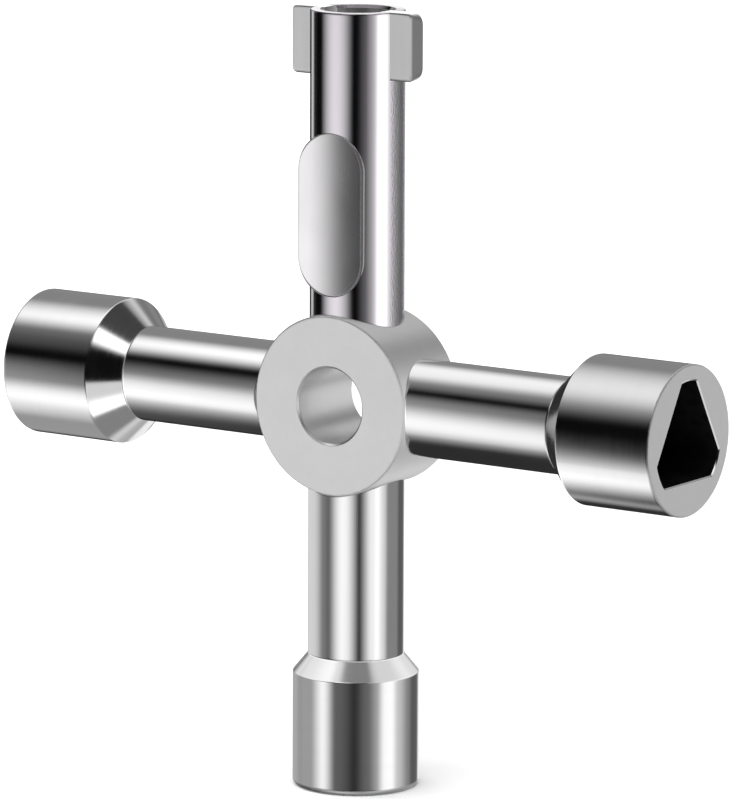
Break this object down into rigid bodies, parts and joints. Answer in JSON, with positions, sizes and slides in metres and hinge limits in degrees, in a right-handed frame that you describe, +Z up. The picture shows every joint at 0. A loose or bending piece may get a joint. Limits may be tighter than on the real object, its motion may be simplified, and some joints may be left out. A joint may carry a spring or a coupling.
{
  "type": "radiator bleed key",
  "caption": "Cross-shaped service key: round arms on a bored hub end in a triangle socket, square sockets and a winged double bit, to turn bleed valves and panel locks.",
  "frame": {"origin": "centre of the hub's bore, half way between its two faces", "axes": "+Z up along the double-bit arm, +X along the triangle-socket arm, Y along the hub's bore, with the thumb pad on the -Y side"},
  "size_m": [0.0716, 0.0138, 0.072],
  "materials": {
    "hub_satin_plate": "steel with nickel plating, faces ground to a fine satin, edges rubbed bright",
    "bit_arm_polished_plate": "steel with nickel plating, polished, faint lengthwise lines, slight cool lilac tint",
    "bit_satin_plate": "steel with nickel plating, satin, edges rubbed bright",
    "pad_satin_plate": "steel with nickel plating, smooth satin",
    "stem_polished_plate": "steel with nickel plating, polished, faint lengthwise lines",
    "head_polished_plate": "steel with nickel plating, polished, fine turning lines, end faces satin"
  },
  "bodies": {
    "root": {"hub": "hub_satin_plate", "top_stem": "bit_arm_polished_plate", "bit_wing_left": "bit_satin_plate", "bit_wing_right": "bit_satin_plate", "thumb_pad": "pad_satin_plate", "left_stem": "stem_polished_plate", "left_socket_head": "head_polished_plate", "right_stem": "stem_polished_plate", "right_socket_head": "head_polished_plate", "bottom_stem": "stem_polished_plate", "bottom_socket_head": "head_polished_plate"}
  },
  "joints": []
}
